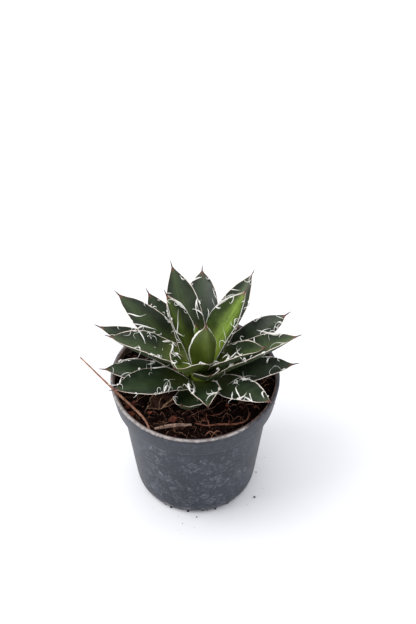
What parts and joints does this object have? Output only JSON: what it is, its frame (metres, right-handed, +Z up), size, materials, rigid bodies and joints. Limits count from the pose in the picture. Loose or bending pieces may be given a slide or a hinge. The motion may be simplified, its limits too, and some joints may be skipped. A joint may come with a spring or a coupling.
{
  "type": "potted agave",
  "caption": "Small thread-edged agave: a rosette of pointed, channelled leaves on a short stem, growing in a round plastic nursery pot of compost.",
  "frame": {"origin": "middle of the pot's underside, on the surface that it stands on", "axes": "+Z up along the pot's axis; the plant's front, with its two shortest outer leaves, faces -Y; +X is to the right seen from the front"},
  "size_m": [0.1335, 0.1153, 0.1469],
  "materials": {
    "pot_plastic": "dark slate injection-moulded polypropylene, scuffed and dusted with lime",
    "compost": null,
    "stem_flesh": null,
    "leaf": null,
    "young_leaf": null,
    "dried_leaf": "brown papery dead leaf",
    "straw": "reddish tan dry straw",
    "root_fibre": "reddish brown coir and root fibre",
    "bark": "composted pine bark"
  },
  "bodies": {
    "root": {"nursery_pot": "pot_plastic", "potting_soil": "compost", "stem": "stem_flesh", "central_bud": "young_leaf", "leaf_left_low": "leaf", "leaf_front_low": "leaf", "leaf_right_low": "leaf", "leaf_back_low": "leaf", "leaf_left_front": "leaf", "leaf_right_front": "leaf", "leaf_back_left": "leaf", "leaf_right_back": "leaf", "leaf_left_back_low": "leaf", "leaf_front": "leaf", "leaf_back": "leaf", "leaf_right": "leaf", "leaf_back_right": "leaf", "leaf_left_back": "leaf", "leaf_left": "leaf", "leaf_upper_back": "leaf", "leaf_inner_front": "young_leaf", "leaf_inner_front_right": "young_leaf", "leaf_inner_front_left": "young_leaf", "leaf_inner_right": "young_leaf", "leaf_inner_left": "young_leaf", "leaf_heart": "young_leaf", "dead_leaf": "dried_leaf", "long_straw": "straw", "twig": "straw", "root": "root_fibre", "fibre_1": "root_fibre", "fibre_2": "root_fibre", "fibre_3": "root_fibre", "bark_chip_1": "bark", "bark_chip_2": "bark", "bark_chip_3": "bark", "bark_chip_4": "bark", "bark_chip_5": "bark", "bark_chip_6": "bark"}
  },
  "joints": []
}
